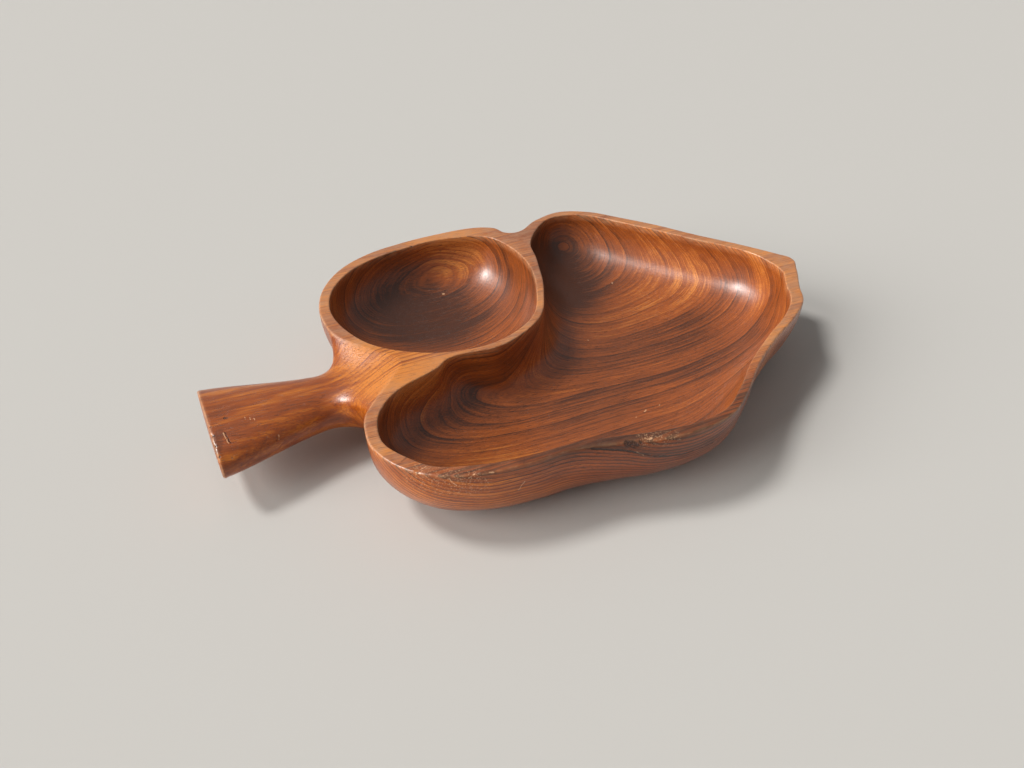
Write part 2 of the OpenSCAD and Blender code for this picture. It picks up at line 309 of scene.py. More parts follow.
def hollow(surface, points, low, run, floor_height):
    """A hollow with a worn edge: gives its first ring, on the flat rim."""
    edge = smooth_curve(points)
    soft = faded(edge)
    turn = soft + inward(soft) * run
    inside = inward(edge)
    rows = [level(edge - inside * (HOLLOW_ROUNDING + FLAT_MARGIN), RIM_HEIGHT)]
    for k in range(ARC_STEPS + 1):
        angle = math.radians(90 * k / ARC_STEPS)
        shift = HOLLOW_ROUNDING * (1 - math.sin(angle))
        rows.append(level(edge - inside * shift, RIM_HEIGHT - HOLLOW_ROUNDING * (1 - math.cos(angle))))
    deep = RIM_HEIGHT - floor_height
    first = 1 - (1 - (HOLLOW_ROUNDING / deep) ** HOLLOW_FULLNESS) ** (1 / HOLLOW_FULLNESS)
    for row in range(1, HOLLOW_ROWS):
        s = first + (1 - first) * (row / HOLLOW_ROWS) ** ROW_CROWDING
        depth = deep * (1 - (1 - s) ** HOLLOW_FULLNESS) ** (1 / HOLLOW_FULLNESS)
        plan = edge * (1 - s) ** 2 + turn * 2 * s * (1 - s) + np.array(low) * s * s
        rows.append(level(plan, RIM_HEIGHT - depth))
    index = surface.add(np.array(rows), HOLLOW_GROUP)
    surface.grid(index)
    surface.fan(surface.add([[*low, floor_height]], HOLLOW_GROUP)[0], index[-1])
    return index[0]


def stem(surface, wall_index, wall, patch):
    """The stem's root, grown from the wall's open patch, and the stem with its worn cut end."""
    rows = WALL_ROWS - STEM_ROW
    side = 2 * SIDE_ANGLE
    face = 180 - side
    # the patch's border, as columns and rows of the wall, and the angles round the stem that they meet
    border = [(c, WALL_ROWS, SIDE_ANGLE + face * c / patch) for c in range(patch + 1)]
    border += [(patch, WALL_ROWS - r, 180 - SIDE_ANGLE + side * r / rows) for r in range(1, rows + 1)]
    border += [(patch - c, STEM_ROW, 180 + SIDE_ANGLE + face * c / patch) for c in range(1, patch + 1)]
    border += [(0, STEM_ROW + r, 360 - SIDE_ANGLE + side * r / rows) for r in range(1, rows)]
    columns, levels, angles = (np.array(v) for v in zip(*border))
    begin = wall[levels, columns]
    lobes_x = wall[WALL_ROWS, :, 0].min()

    def section(along):
        """A ring round the stem, at a share of the way from its neck to its end."""
        flare = along * (1 + 3 * along - 2 * along * along) / 2
        c, s = oval(angles, STEM_FULLNESS)
        y = c * (NECK_WIDTH * (1 - flare) + END_WIDTH * flare) / 2
        z = s * (NECK_THICKNESS * (1 - along) + END_THICKNESS * along) / 2
        cut = y * math.tan(math.radians(END_CUT_ANGLE))
        x = lobes_x - NECK_GAP * (1 - along) - (STEM_LENGTH + cut) * along
        return np.column_stack([x, y + NECK_Y * (1 - along) + END_Y * along, STEM_HEIGHT + z])

    direction = root_direction(angles, np.where(levels == WALL_ROWS, columns / patch, -1))
    finish = section(0)
    rings = []
    for k in range(1, ROOT_RINGS + 1):
        t = k / ROOT_RINGS
        rings.append(
            begin * (1 - t) ** 3 + (begin + direction * ROOT_REACH) * 3 * t * (1 - t) ** 2
            + (finish + [NECK_REACH, 0, 0]) * 3 * t * t * (1 - t) + finish * t ** 3
        )
    # the root's corners are sanded round, and its ends stay as they are
    for k, ring in enumerate(rings):
        share = 0.5 * math.sin(math.pi * (k + 1) / ROOT_RINGS)
        for _ in range(ROOT_SANDING):
            ring = ring + ((turned(ring, 1) + turned(ring, -1)) / 2 - ring) * share
        rings[k] = ring
    rings += [section(k / STEM_RINGS) for k in range(1, STEM_RINGS)]
    end = section(1)
    centre = end.mean(axis=0)
    toward = centre - end
    toward /= np.linalg.norm(toward, axis=1)[:, None]
    for k in range(ARC_STEPS + 1):
        angle = math.radians(90 * k / ARC_STEPS)
        back = END_ROUNDING * (1 - math.sin(angle))
        rings.append(end + [back, 0, 0] + toward * END_ROUNDING * (1 - math.cos(angle)))
    rim = rings[-1]
    for k in range(1, CAP_RINGS):
        t = k / CAP_RINGS
        rings.append(rim * (1 - t) + centre * t - [END_BULGE * (1 - (1 - t) ** 2), 0, 0])
    index = surface.add(np.array(rings))
    index = np.vstack([wall_index[levels, columns][None], index])
    surface.grid(index[:, ::-1])
    surface.fan(surface.add([centre - [END_BULGE, 0, 0]])[0], index[-1][::-1])


def stretch(ring, start, end):
    """Indices along a closed ring from one drawn point to another."""
    way = 1 if end >= start else -1
    return [ring[i % len(ring)] for i in range(start * STEPS, end * STEPS + way, way)]


def flat_rim(surface, leaf, round_ring, large_ring, starts):
    """The flat rim, as strips along the edges and fans at the crotch and the notch."""
    # the drawn points at which strips meet, counted along each ring
    crotch_middle, notch_middle = len(CROTCH_EDGE) // 2, starts[4] + 1
    leaf_end = len(leaf) // STEPS
    round_back = len(ROUND_EDGE) - 1
    round_crotch = round_back + 3
    round_ridge = round_crotch + 1
    round_end = len(round_ring) // STEPS
    round_notch = round_end - 2
    large_front = len(FRONT_EDGE) - 1
    large_back = len(FRONT_EDGE) + len(LARGE_TIP)
    large_end = large_back + len(BACK_EDGE) - 1
    large_ridge = large_end + len(LARGE_NOTCH) + len(RIDGE_POINTS)
    large_last = len(large_ring) // STEPS
    front, tip, back, notch, side = starts[1:6]
    strips = [
        (stretch(leaf, front, tip - 1), stretch(large_ring, 0, large_front)),
        (stretch(leaf, tip - 1, back), stretch(large_ring, large_front, large_back)),
        (stretch(leaf, back, notch - 1), stretch(large_ring, large_back, large_end)),
        (stretch(leaf, notch - 1, notch_middle), stretch(large_ring, large_end, large_end + 1)),
        (stretch(leaf, notch_middle, notch_middle),
         stretch(large_ring, large_end + 1, large_end + 1) + stretch(round_ring, round_notch, round_notch)),
        (stretch(leaf, notch_middle, side), stretch(round_ring, round_notch, round_end)),
        (stretch(leaf, side, leaf_end - 1), stretch(round_ring, 0, round_back)),
        (stretch(leaf, leaf_end - 1, leaf_end), stretch(round_ring, round_back, round_back + 1)),
        (stretch(leaf, 0, crotch_middle), stretch(round_ring, round_back + 1, round_crotch)),
        (stretch(leaf, crotch_middle, crotch_middle),
         stretch(round_ring, round_crotch, round_ridge)
         + stretch(large_ring, large_ridge, large_ridge + 1)),
        (stretch(leaf, crotch_middle, front), stretch(large_ring, large_ridge + 1, large_last)),
        (stretch(large_ring, large_ridge, large_end + 1), stretch(round_ring, round_ridge, round_notch)),
    ]
    for outer, inner in strips:
        surface.strip(outer, inner)


def used(points, groups, faces):
    """The points that faces use with their groups, and the faces numbered to match."""
    taken = np.zeros(len(points), bool)
    taken[[i for f in faces for i in f]] = True
    number = np.cumsum(taken) - 1
    return points[taken], groups[taken], [[number[i] for i in f] for f in faces]


def build_dish():
    """The dish's whole surface: points in millimetres, their groups and faces."""
    surface = Surface()
    leaf_points, round_points, large_points, starts = leaf_outlines()
    wall_index, wall, patch = outer_wall(surface, leaf_points)
    foot(surface, wall_index[0], wall[0])
    stem(surface, wall_index, wall, patch)
    round_ring = hollow(surface, round_points, ROUND_LOW, ROUND_RUN, ROUND_FLOOR)
    large_ring = hollow(surface, large_points, LARGE_LOW, LARGE_RUN, LARGE_FLOOR)
    flat_rim(surface, wall_index[-1], round_ring, large_ring, starts)
    return used(np.vstack(surface.points), np.concatenate(surface.groups), surface.faces)


def shader_colour(red, green, blue):
    """A screen colour from 0 to 255 as the linear colour that a shader takes."""
    linear = []
    for value in (red / 255, green / 255, blue / 255):
        linear.append(value / 12.92 if value <= 0.04045 else ((value + 0.055) / 1.055) ** 2.4)
    return (*linear, 1.0)


class Nodes:
    """A short way to write a material's nodes."""

    def __init__(self, name):
        self.material = bpy.data.materials.new(name)
        self.material.use_nodes = True
        self.tree = self.material.node_tree
        self.tree.nodes.clear()

    def add(self, kind, settings=None, **inputs):
        """A node of a kind, its settings, and its inputs by name with spaces as underscores."""
        node = self.tree.nodes.new(kind)
        for key, value in (settings or {}).items():
            setattr(node, key, value)
        for key, value in inputs.items():
            self.put(node.inputs[key.replace("_", " ")], value)
        return node

    def put(self, socket, value):
        """A value or another node's output into a socket."""
        if isinstance(value, bpy.types.NodeSocket):
            self.tree.links.new(value, socket)
        else:
            socket.default_value = value

    def math(self, operation, *values, clamp=False):
        """A math node on numbers or outputs."""
        node = self.tree.nodes.new("ShaderNodeMath")
        node.operation = operation
        node.use_clamp = clamp
        for socket, value in zip(node.inputs, values):
            self.put(socket, value)
        return node.outputs[0]

    def vector(self, operation, *values):
        """A vector math node on vectors or outputs."""
        node = self.tree.nodes.new("ShaderNodeVectorMath")
        node.operation = operation
        for socket, value in zip(node.inputs, values):
            self.put(socket, value)
        return node.outputs["Value" if operation in ("DOT_PRODUCT", "DISTANCE") else "Vector"]

    def scaled(self, vector, scale):
        """A vector with each part scaled by itself."""
        return self.vector("MULTIPLY", vector, scale)

    def noise(self, vector, detail=2.0, roughness=0.5, dimensions="3D"):
        """A noise at a place, or along a line where it has one dimension."""
        node = self.add(
            "ShaderNodeTexNoise", {"noise_dimensions": dimensions},
            Scale=1.0, Detail=detail, Roughness=roughness,
        )
        self.put(node.inputs["W" if dimensions == "1D" else "Vector"], vector)
        return node

    def mapped(self, value, low, high, to_low=0.0, to_high=1.0, smooth=False):
        """A value mapped from one range to another and held there."""
        node = self.tree.nodes.new("ShaderNodeMapRange")
        node.interpolation_type = "SMOOTHSTEP" if smooth else "LINEAR"
        for socket, number in zip(node.inputs, (value, low, high, to_low, to_high)):
            self.put(socket, number)
        return node.outputs[0]

    def mix(self, factor, first, second, blend="MIX"):
        """Two colours mixed by a factor."""
        node = self.add("ShaderNodeMix", {"data_type": "RGBA", "blend_type": blend})
        # the sockets for colours come after those for numbers and vectors
        mix_factor, colours, mixed = node.inputs[0], node.inputs[6:8], node.outputs[2]
        self.put(mix_factor, factor)
        self.put(colours[0], first)
        self.put(colours[1], second)
        return mixed

    def nearest(self, place, marks):
        """How far a place is from the nearest of a list of marks, in that mark's radii."""
        found = None
        for start, end, radius in marks:
            along = Vector(end) - Vector(start)
            from_start = self.vector("SUBTRACT", place, start)
            part = self.vector("DOT_PRODUCT", from_start, tuple(along / along.length_squared))
            part = self.math("MULTIPLY", part, 1.0, clamp=True)
            scaled = self.tree.nodes.new("ShaderNodeVectorMath")
            scaled.operation = "SCALE"
            self.put(scaled.inputs[0], tuple(along))
            self.put(scaled.inputs["Scale"], part)
            distance = self.math("DIVIDE", self.vector("DISTANCE", from_start, scaled.outputs[0]), radius)
            found = distance if found is None else self.math("MINIMUM", found, distance)
        return found

    def marks(self, place, marks):
        """Where a list of marks covers a place, from 0 to 1."""
        return self.mapped(self.nearest(place, marks), 0.5, 1.0, 1.0, 0.0, smooth=True)

    def ramp(self, value, stops):
        """A colour ramp with stops of place and colour."""
        node = self.tree.nodes.new("ShaderNodeValToRGB")
        self.put(node.inputs[0], value)
        elements = node.color_ramp.elements
        while len(elements) < len(stops):
            elements.new(0.5)
        for element, (place, colour) in zip(elements, stops):
            element.position = place
            element.color = colour
        return node.outputs[0]


# Wood: growth layers are sheets that lean back, at about even steps, and fibres run along the leaf
LAYER_NORMAL = (0.01, -0.647, 0.762)
LAYER_WIDTH = 6.6
LAYER_START = -51.2
HONEY = shader_colour(226, 144, 68)
CHESTNUT = shader_colour(166, 86, 34)
CHOCOLATE = shader_colour(78, 40, 22)
PORE = shader_colour(44, 20, 8)
BARE = shader_colour(188, 140, 108)
# pale worn wood, which also serves as painted highlight on rounded edges and small dents
WORN_AND_HIGHLIGHT = shader_colour(232, 184, 140)
# The outer wall and the stem are redder and richer, and the stem a little cooler than the wall
OUTER_TINT = (1.0, 0.77, 0.24, 1.0)
STEM_TINT = (0.88, 0.94, 1.25, 1.0)
# Painted shade and painted light: a place in millimetres, how far it reaches, and how much darker it is
CROTCH_MIDDLE = (-89.3, -11.4, RIM_HEIGHT)
# darker places are painted shade in the hollows' far lobes and on the front wall;
# lighter places are painted light on the lit walls, the crotch and the tip
PAINTED_SHADE_AND_LIGHT = [
    ((48, 82, 20), 62, 0.6), ((-42, 80, 16), 62, 0.46), ((16, 84, 38), 40, -0.3),
    ((-14, 118, 46), 40, -0.4), ((168, 16, 36), 60, -0.16), (CROTCH_MIDDLE, 50, -0.34),
    ((0, -122, 42), 80, 0.12),
]
# How much darker the hollows, the stem, the outer wall and the front rim are
HOLLOW_SHADE = 0.3
STEM_SHADE = 0.24
WALL_SHADE = 0.14
FRONT_SHADE = 0.3
# Where masks fade in, each from none to full: the stem in x and from its middle in y, the front rim in y
STEM_Y = -8.0
STEM_START = (-96, -128)
STEM_SIDES = (54, 38)
FRONT_START = (-84, -112)
# How far from the crotch's middle the bare rim and the outer wall's strong layers fade in
BARE_FADE = (12, 34)
LAYER_FADE = (24, 58)
# Marks of use, with painted highlights on the stem's small dents, in the part's millimetres: two ends and a
# radius
PALE_MARKS = [
    # near-left rim: chips and a short check across the flat
    ((-108.4, -104.6, 49.8), (-106.6, -105.9, 49.6), 0.6), ((-107.8, -105, 50), (-98, -101, 50), 0.3),
    ((-95.1, -113.8, 48.9), (-91.5, -114.8, 43.5), 0.45),
    ((-85.5, -116.5, 48), (-82.4, -117.1, 49.6), 0.5),
    ((-75.6, -119, 49.6), (-73.4, -119.3, 49.6), 0.6),
    # front rim beside the knot, and a scratch in the wall
    ((6.6, -127.3, 50), (9.4, -128, 49.8), 0.9), ((12.5, -128.6, 49.6), (15.5, -128.7, 49.2), 0.5),
    ((2, -128.3, 42.6), (5.5, -129, 40.2), 0.5), ((-56.6, -120.4, 39.6), (-60.2, -119.2, 31.8), 0.3),
    # stem: a scratch, and painted highlights on small dents
    ((-191.4, -26.5, 40.7), (-189.6, -33.7, 38.8), 0.35),
    ((-178.9, -18.6, 41.4), (-178.5, -20.6, 41.2), 0.35),
    ((-176.6, -19.6, 41.3), (-176.2, -21.4, 41.1), 0.35),
    ((-174.6, -20.8, 41), (-174.2, -22.4, 40.8), 0.3),
    ((-164.2, -32.6, 34.4), (-164.6, -34.4, 32.3), 0.35),
    # crumbs in the hollows
    ((-25.4, 99.9, 17.8), (-24.8, 99.9, 17.8), 1), ((99.4, 69, 15.1), (99.6, 69, 15.1), 0.8),
    ((48.9, 11.5, 12.3), (49.1, 11.5, 12.3), 0.7), ((45.6, -69.3, 10.9), (47.2, -68.4, 10.9), 0.6),
    ((57.6, -67.5, 10.9), (57.8, -67.5, 10.9), 0.5), ((37.7, -72, 11.2), (38, -72, 11.2), 0.5),
]
DARK_MARKS = [
    # the knot, and specks round it
    ((-2.8, -126.6, 48.9), (1, -127.7, 47.6), 2.4), ((3.4, -127.8, 48.9), (4.2, -128, 48.5), 0.9),
    ((-4.6, -126, 49), (-4, -126.2, 48.6), 0.6),
    # stem: dents, nicks along the end, the scratch's shaded side
    ((-188.9, -15.4, 41.8), (-188, -16, 41.8), 0.9), ((-190.5, -26.7, 40.7), (-188.7, -33.9, 38.8), 0.4),
    ((-165.5, -33.4, 34), (-165.9, -34.6, 32.6), 0.4), ((-198.6, -20, 41.5), (-196.6, -20.2, 41.6), 0.6),
    ((-198.1, -27, 40.6), (-195.9, -27.2, 40.7), 0.7), ((-197.6, -34, 39), (-195.4, -34.2, 39.2), 0.6),
    ((-197.1, -40, 36.2), (-195.2, -40.2, 36.5), 0.7), ((-41, 121.5, 49.9), (-40.2, 121.5, 49.9), 0.8),
]
# Short dark streaks across the rim, and patches that are rubbed to pale flecks
RIM_STREAKS = [
    ((-122.2, -71.4, 50), (-118, -72.4, 50), 0.5), ((-120.4, -81, 50), (-115.5, -81.9, 50), 0.45),
    ((-112.6, -95, 50), (-108.4, -92.6, 50), 0.5),
    ((-58, -119.6, 50), (-55.6, -115.6, 50), 0.4), ((64.2, -113, 50), (62, -109, 50), 0.45),
]
RUBBED_PATCHES = [
    ((-108, -105, 45), (-82, -117, 43), 10), ((6, -126, 48), (22, -130, 47), 5),
]
STAIN_MARKS = [
    ((-193, -25.5, 40.9), (-196, -36, 38.4), 3.2), ((-3, -126.5, 48.5), (3, -128, 47.5), 4),
    ((-56, -115, 50), (-24, -117, 50), 7), ((-24, -117, 50), (14, -122, 50), 7),
]
# The open growth line in the front wall under the worn rim, and the worn rim's upper end
OPEN_LINE = [
    (-21.3, -122.3, 48.4), (-6.3, -125.8, 45.3), (4.8, -128.8, 41), (18.9, -131.2, 36.5), (28, -131.6, 35),
    (48.4, -130.3, 35.2),
]
UPPER_LINE = [(-20.6, -122, 48.2), (-14, -120.8, 50), (3.4, -123, 50)]
# Chips and dents in the surface itself: a place in the part's millimetres, a radius and a depth
CHIPS = [
    (-1.1, -127.3, 48.3, 2.8, 1), (8, -127.8, 50, 2.4, 0.8), (14, -128.7, 49.5, 1.8, 0.5),
    (-107.5, -105.3, 49.8, 2, 0.7), (-95, -113.9, 49.3, 2, 0.7), (-84, -117, 49.6, 2.2, 0.6),
    (-74.4, -119.2, 49.8, 2.2, 0.6), (-40.6, 121.5, 49.9, 2, 0.7), (-198.2, -20, 41.3, 1.6, 0.5),
    (-197.7, -27, 40.4, 1.8, 0.6), (-197.2, -34, 38.8, 1.6, 0.5), (-196.8, -40, 36.1, 1.8, 0.6),
    (-188.5, -15.7, 41.8, 2, 0.3), (-176.6, -19.8, 41.3, 2, 0.25), (-164.5, -33.4, 33.4, 1.8, 0.3),
]


def wood_material():
    """Oiled hardwood with its growth layers, pores, worn and highlit edges, marks of use, and painted shade
    and light.
    """
    n = Nodes("oiled_hardwood")
    place = n.scaled(n.add("ShaderNodeTexCoord").outputs["Object"], (1 / MM,) * 3)
    tone_and_painted_light, stem_mask, wall_mask, flat, edge = (
        n.add("ShaderNodeAttribute", {"attribute_name": name}).outputs["Fac"]
        for name in ("tone_and_painted_light", "stem", "wall", "flat", "edge")
    )
    # slow bends of the layers, then small waves along the fibres
    bend = n.noise(n.scaled(place, (1 / 190, 1 / 90, 1 / 90)), detail=1.0)
    wave = n.noise(n.scaled(place, (1 / 50, 1 / 14, 1 / 14)), detail=2.0, roughness=0.5)
    layer = n.vector("DOT_PRODUCT", place, LAYER_NORMAL)
    layer = n.math("ADD", layer, n.math("MULTIPLY", n.math("SUBTRACT", bend.outputs[0], 0.5), 9.0))
    layer = n.math("ADD", layer, n.math("MULTIPLY", n.math("SUBTRACT", wave.outputs[0], 0.5), 1.8))
    # each layer starts dark and fades outward, some more than others
    uneven = n.noise(n.math("DIVIDE", layer, 31.0), detail=0.0, dimensions="1D")
    count = n.math("DIVIDE", n.math("SUBTRACT", layer, LAYER_START), LAYER_WIDTH)
    count = n.math("ADD", count, n.math("SUBTRACT", uneven.outputs[0], 0.5))
    early = n.math("SUBTRACT", 1.0, n.math("FRACT", count))
    strength = n.add("ShaderNodeTexWhiteNoise", {"noise_dimensions": "1D"}, W=n.math("FLOOR", count))
    strength = n.mapped(strength.outputs[0], 0.0, 1.0, 0.06, 0.6)
    fade = n.math("MULTIPLY", n.math("POWER", early, 1.3), 0.42)
    start_line = n.math("MULTIPLY", n.math("POWER", early, 6.0), 0.14)
    tone = n.math("MULTIPLY", strength, n.math("ADD", fade, start_line))
    # thinner layers between, hair-fine ones, and broad bands
    cloud = n.noise(n.scaled(place, (1 / 80, 1 / 34, 1 / 34)), detail=2.0)
    thin = n.math("SUBTRACT", 1.0, n.math("FRACT", n.math("MULTIPLY", count, 3.0)))
    along = n.vector("DOT_PRODUCT", place, (1.0, 0.0, 0.0))
    across = n.vector("DOT_PRODUCT", place, (0.0, -LAYER_NORMAL[2], LAYER_NORMAL[1]))
    sheet = n.add("ShaderNodeCombineXYZ", X=along, Y=across, Z=layer).outputs[0]
    fine = n.noise(n.scaled(sheet, (1 / 34, 1 / 20, 1 / 0.6)), detail=3.0, roughness=0.6)
    band = n.noise(n.math("DIVIDE", layer, 26.0), detail=1.0, dimensions="1D")
    clear = n.mapped(cloud.outputs[0], 0.4, 0.62, 0.25, 1.0)
    thin_lines = n.math("MULTIPLY", n.math("POWER", thin, 3.0), n.math("MULTIPLY", clear, 0.15))
    tone = n.math("ADD", tone, thin_lines)
    tone = n.math("ADD", tone, n.mapped(fine.outputs[0], 0.3, 0.7, -0.18, 0.2))
    tone = n.math("ADD", tone, n.mapped(band.outputs[0], 0.32, 0.68, 0.02, 0.3))
    # they hardly show on the stem, and stand out on the outer wall
    tone = n.math("MULTIPLY", tone, n.math("SUBTRACT", 1.0, n.math("MULTIPLY", stem_mask, 0.75)))
    sharp = n.math("MULTIPLY", n.math("POWER", thin, 5.0), n.mapped(strength, 0.06, 0.6, 0.4, 1.1))
    tone = n.math("ADD", tone, n.math("MULTIPLY", sharp, wall_mask))
    # clouds and fibres, and streaks that are strongest on the stem
    fibre = n.noise(n.scaled(place, (1 / 16, 1 / 0.6, 1 / 0.6)), detail=3.0, roughness=0.62)
    streak = n.noise(n.scaled(place, (1 / 34, 1 / 4.5, 1 / 4.5)), detail=3.0, roughness=0.6)
    streak = n.mapped(streak.outputs[0], 0.3, 0.7, -0.16, 0.3)
    tone = n.math("ADD", tone, n.mapped(cloud.outputs[0], 0.3, 0.7, -0.08, 0.12))
    tone = n.math("ADD", tone, n.mapped(fibre.outputs[0], 0.28, 0.72, -0.1, 0.12))
    tone = n.math("ADD", tone, n.math("MULTIPLY", streak, n.mapped(stem_mask, 0.0, 1.0, 0.2, 1.0)))
    # painted shade and painted light from the mesh darken and lighten the tone
    tone = n.math("ADD", tone, tone_and_painted_light)
    colour = n.ramp(tone, [(0.06, HONEY), (0.46, CHESTNUT), (0.98, CHOCOLATE)])
    rich = n.math("ADD", stem_mask, wall_mask, clamp=True)
    colour = n.mix(n.mapped(rich, 0.0, 1.0, 0.15, 1.0), colour, OUTER_TINT, blend="MULTIPLY")
    colour = n.mix(stem_mask, colour, STEM_TINT, blend="MULTIPLY")
    # open pores: short dark dashes along the fibres
    pores = n.noise(n.scaled(place, (1 / 7, 1 / 0.42, 1 / 0.42)), detail=1.0, roughness=0.4)
    pore = n.mapped(pores.outputs[0], 0.6, 0.72, 0.0, 0.5, smooth=True)
    colour = n.mix(pore, colour, PORE)
    # the flat rim is worn bare, and edges are painted pale in places, as rubbed wood and as painted
    # highlight on their rounding
    mottle = n.noise(n.scaled(place, (1 / 7, 1 / 4, 1 / 4)), detail=3.0, roughness=0.65)
    mottle = n.mapped(mottle.outputs[0], 0.34, 0.66, 0.62, 0.14)
    colour = n.mix(n.math("MULTIPLY", flat, mottle), colour, BARE)
    rubbed_and_highlit = n.noise(n.scaled(place, (1 / 6, 1 / 6, 1 / 3)), detail=3.0, roughness=0.6)
    rubbed_and_highlit = n.math("MULTIPLY", edge, n.mapped(rubbed_and_highlit.outputs[0], 0.36, 0.64, 0.2, 0.6))
    colour = n.mix(rubbed_and_highlit, colour, WORN_AND_HIGHLIGHT)
    # the open growth line is a dark gap in a stain, with painted shade in the groove beside it
    jagged = n.noise(n.scaled(place, (1 / 2, 1 / 2, 1 / 2)), detail=2.0)
    ragged = n.vector("SUBTRACT", jagged.outputs["Color"], (0.5, 0.5, 0.5))
    ragged = n.vector("ADD", place, n.scaled(ragged, (1.6, 1.6, 1.6)))
    from_line = n.nearest(ragged, [(a, b, 1.0) for a, b in zip(OPEN_LINE, OPEN_LINE[1:])])
    gap = n.mapped(from_line, 0.3, 0.75, 1.0, 0.0, smooth=True)
    groove_shade = n.mapped(from_line, 0.5, 2.0, 1.0, 0.0, smooth=True)
    upper = n.marks(ragged, [(a, b, 0.5) for a, b in zip(UPPER_LINE, UPPER_LINE[1:])])
    stain_and_groove_shade = n.math("MAXIMUM", n.marks(ragged, STAIN_MARKS), groove_shade)
    # pale and dark marks, painted highlights among the pale ones, and pale flecks in the rubbed patches
    pale = n.marks(ragged, PALE_MARKS)
    speck = n.noise(n.scaled(place, (1 / 0.8, 1 / 0.8, 1 / 0.8)), detail=1.0)
    broken = n.mapped(speck.outputs[0], 0.36, 0.52, 0.35, 1.0)
    dark = n.math("MULTIPLY", n.marks(ragged, DARK_MARKS), broken)
    fleck = n.mapped(speck.outputs[0], 0.56, 0.66, 0.0, 0.5, smooth=True)
    fleck = n.math("MULTIPLY", n.marks(place, RUBBED_PATCHES), fleck)
    # stains, and the painted shade beside the open growth line
    colour = n.mix(n.math("MULTIPLY", stain_and_groove_shade, 0.4), colour, CHOCOLATE)
    colour = n.mix(n.math("MULTIPLY", n.marks(ragged, RIM_STREAKS), 0.5), colour, CHOCOLATE)
    pale = n.math("MAXIMUM", pale, fleck)
    colour = n.mix(n.math("MULTIPLY", pale, 0.72), colour, WORN_AND_HIGHLIGHT)
    cut = n.math("MAXIMUM", gap, n.math("MULTIPLY", upper, 0.6))
    colour = n.mix(n.math("MULTIPLY", cut, 0.85), colour, PORE)
    colour = n.mix(n.math("MULTIPLY", dark, 0.8), colour, PORE)
    # fibres stand up a little, and pores, dark marks and the gap are sunk
    height = n.math("SUBTRACT", n.math("MULTIPLY", fibre.outputs[0], 0.3), n.math("MULTIPLY", pore, 0.6))
    height = n.math("SUBTRACT", height, n.math("MULTIPLY", n.math("MAXIMUM", dark, gap), 1.5))
    bump = n.add("ShaderNodeBump", Strength=0.7, Distance=0.0005, Height=height)
    rough = n.math("ADD", n.mapped(tone, 0.0, 1.0, 0.3, 0.4), n.math("MULTIPLY", flat, 0.16))
    shader = n.add("ShaderNodeBsdfPrincipled", Base_Color=colour, Roughness=rough, Normal=bump.outputs[0])
    n.put(shader.inputs["Specular IOR Level"], 0.45)
    n.put(shader.inputs["Coat Weight"], 0.4)
    n.put(shader.inputs["Coat Roughness"], 0.25)
    n.add("ShaderNodeOutputMaterial", Surface=shader.outputs[0])
    return n.material


def floor_material():
    """Plain pale matt floor."""
    n = Nodes("pale_floor")
    shader = n.add("ShaderNodeBsdfPrincipled", Base_Color=shader_colour(206, 204, 200), Roughness=0.8)
    shader.inputs["Specular IOR Level"].default_value = 0.2
    n.add("ShaderNodeOutputMaterial", Surface=shader.outputs[0])
    return n.material


def studio_world(light, background):
    """An even light from all round, and the pale background that the camera and gloss see in its place."""
    world = bpy.data.worlds.new("studio")
    world.use_nodes = True
    tree = world.node_tree
    tree.nodes.clear()
    path = tree.nodes.new("ShaderNodeLightPath")
    seen = path.outputs["Is Camera Ray"]
    for name in ("Is Glossy Ray", "Is Transmission Ray"):
        either = tree.nodes.new("ShaderNodeMath")
        either.operation = "MAXIMUM"
        tree.links.new(seen, either.inputs[0])
        tree.links.new(path.outputs[name], either.inputs[1])
        seen = either.outputs[0]
    mix = tree.nodes.new("ShaderNodeMixShader")
    tree.links.new(seen, mix.inputs[0])
    for socket, strength in ((mix.inputs[1], light), (mix.inputs[2], background)):
        shader = tree.nodes.new("ShaderNodeBackground")
        shader.inputs["Color"].default_value = ROUND_LIGHT_COLOUR
        shader.inputs["Strength"].default_value = strength
        tree.links.new(shader.outputs[0], socket)
    output = tree.nodes.new("ShaderNodeOutputWorld")
    tree.links.new(mix.outputs[0], output.inputs[0])
    bpy.context.scene.world = world


def point_normals(mesh):
    """Normals at a mesh's points."""
    normals = np.empty(len(mesh.vertices) * 3)
    mesh.vertices.foreach_get("normal", normals)
    return normals.reshape(-1, 3)


def chip(mesh, centred):
    """Presses the chips and dents into the mesh, and gives its new points in millimetres."""
    normals = point_normals(mesh)
    for x, y, z, radius, depth in CHIPS:
        nearness = 1 - ((centred - (x, y, z)) ** 2).sum(axis=1) / radius ** 2
        centred = centred - normals * (depth * np.clip(nearness, 0, 1) ** 2)[:, None]
    mesh.vertices.foreach_set("co", (centred * MM).ravel())
    mesh.update()
    return centred


